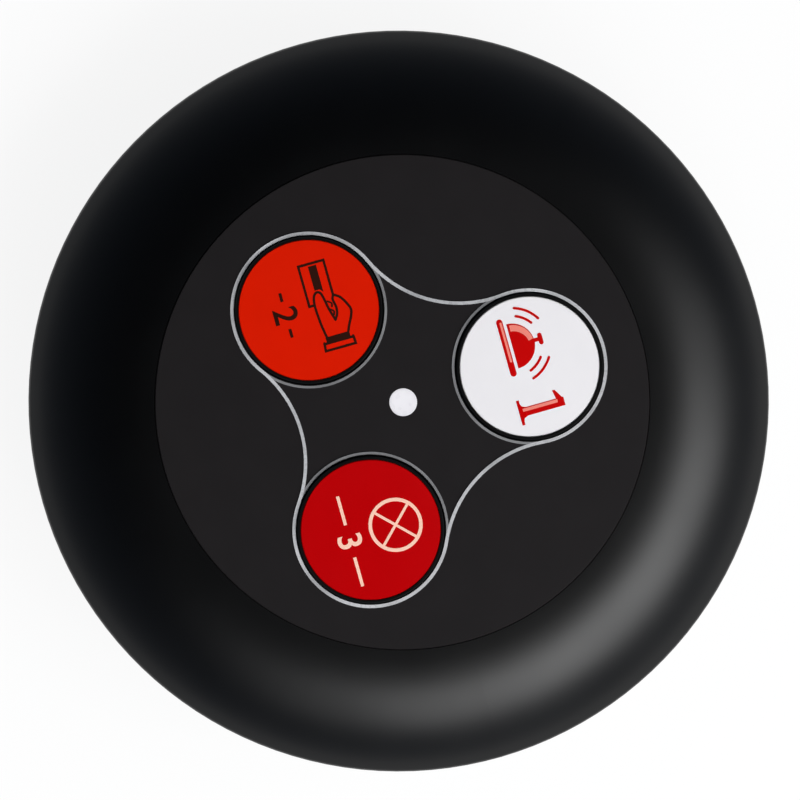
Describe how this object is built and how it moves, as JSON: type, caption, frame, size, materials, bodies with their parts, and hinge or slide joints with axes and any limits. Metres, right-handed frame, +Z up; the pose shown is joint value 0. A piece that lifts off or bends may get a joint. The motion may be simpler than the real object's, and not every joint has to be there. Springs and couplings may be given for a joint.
{
  "type": "waiter call button",
  "caption": "Round table-top call button with flat coloured keys in a matt dark panel, a gloss convex ring, a lamp window and a battery base on rubber feet.",
  "frame": {"origin": "centre of the circle that the rubber feet stand on, at the level of their soles", "axes": "+Z up out of the front panel, +Y towards the call key (the top of the legends), +X to the reader's right"},
  "size_m": [0.086, 0.086, 0.0239],
  "materials": {
    "gloss_black": "gloss black moulded ABS",
    "satin_black": "fine-textured black ABS",
    "seal_rubber": "matt silicone",
    "panel_black": "flat matt dark panel",
    "clear_film": "double-sided film",
    "silver_line": "bright foil line",
    "silver_line_dim": "thin foil line",
    "key_black": "satin black moulded key",
    "face_white": "white printed key face",
    "face_orange_red": "orange-red printed key face",
    "face_crimson": "crimson printed key face",
    "plunger_plastic": "moulded switch actuator",
    "spring_steel": "thin spring steel",
    "component_black": "moulded epoxy",
    "tinned_steel": "tinned steel",
    "window_white": "white translucent light pipe",
    "lamp_lens": "lamp case and lens",
    "board_green": "solder-masked board",
    "ceramic_gold": "ceramic case with plated lid",
    "ceramic_tan": "ceramic",
    "cell_jacket": "plain plastic jacket over a steel can",
    "nickel_brass": "plated spring brass",
    "screw_steel": "zinc-plated steel",
    "foot_rubber": "soft matt rubber"
  },
  "bodies": {
    "housing": {"top_housing": "gloss_black", "base_housing": "satin_black", "housing_gasket": "seal_rubber", "front_panel": "panel_black", "panel_adhesive": "clear_film", "trefoil_outline": "silver_line", "key_line_arcs": "silver_line_dim", "call_dome": "spring_steel", "bill_dome": "spring_steel", "cancel_dome": "spring_steel", "switch_bodies": "component_black", "switch_covers": "tinned_steel", "switch_terminals": "tinned_steel", "led_window": "window_white", "status_led": "lamp_lens", "circuit_board": "board_green", "encoder_chip": "component_black", "chip_leads": "tinned_steel", "saw_resonator": "ceramic_gold", "rf_transistor": "component_black", "chip_resistors": "component_black", "chip_capacitors": "ceramic_tan", "antenna_wire": "tinned_steel", "battery": "cell_jacket", "battery_leaf_contact": "nickel_brass", "battery_plate_contact": "nickel_brass", "housing_screws": "screw_steel", "board_screws": "screw_steel", "rubber_feet": "foot_rubber"},
    "call_key": {"call_key": "key_black", "call_key_face": "face_white"},
    "bill_key": {"bill_key": "key_black", "bill_key_face": "face_orange_red"},
    "cancel_key": {"cancel_key": "key_black", "cancel_key_face": "face_crimson"},
    "call_plunger": {"call_plunger": "plunger_plastic"},
    "bill_plunger": {"bill_plunger": "plunger_plastic"},
    "cancel_plunger": {"cancel_plunger": "plunger_plastic"},
    "battery_door": {"battery_door": "satin_black"}
  },
  "joints": [
    {"name": "call_key_press", "type": "slide", "parent": "housing", "child": "call_key", "axis": [0, 0, -1], "range_m": [0, 0.00035], "stiffness_N_per_m": 4000, "springref_m": -0.0001},
    {"name": "bill_key_press", "type": "slide", "parent": "housing", "child": "bill_key", "axis": [0, 0, -1], "range_m": [0, 0.00035], "stiffness_N_per_m": 4000, "springref_m": -0.0001},
    {"name": "cancel_key_press", "type": "slide", "parent": "housing", "child": "cancel_key", "axis": [0, 0, -1], "range_m": [0, 0.00035], "stiffness_N_per_m": 4000, "springref_m": -0.0001},
    {"name": "call_plunger_press", "type": "slide", "parent": "housing", "child": "call_plunger", "axis": [0, 0, -1], "range_m": [0, 0.00035], "deforming": ["call_dome"]},
    {"name": "bill_plunger_press", "type": "slide", "parent": "housing", "child": "bill_plunger", "axis": [0, 0, -1], "range_m": [0, 0.00035], "deforming": ["bill_dome"]},
    {"name": "cancel_plunger_press", "type": "slide", "parent": "housing", "child": "cancel_plunger", "axis": [0, 0, -1], "range_m": [0, 0.00035], "deforming": ["cancel_dome"]},
    {"name": "battery_door_hinge", "type": "hinge", "parent": "housing", "child": "battery_door", "pos_m": [0.01375, 0, 0.002], "axis": [0, -1, 0], "range_deg": [0, 90]}
  ],
  "couplings": [
    {"joint": "call_plunger_press", "follows": "call_key_press", "ratio": 1},
    {"joint": "bill_plunger_press", "follows": "bill_key_press", "ratio": 1},
    {"joint": "cancel_plunger_press", "follows": "cancel_key_press", "ratio": 1}
  ]
}
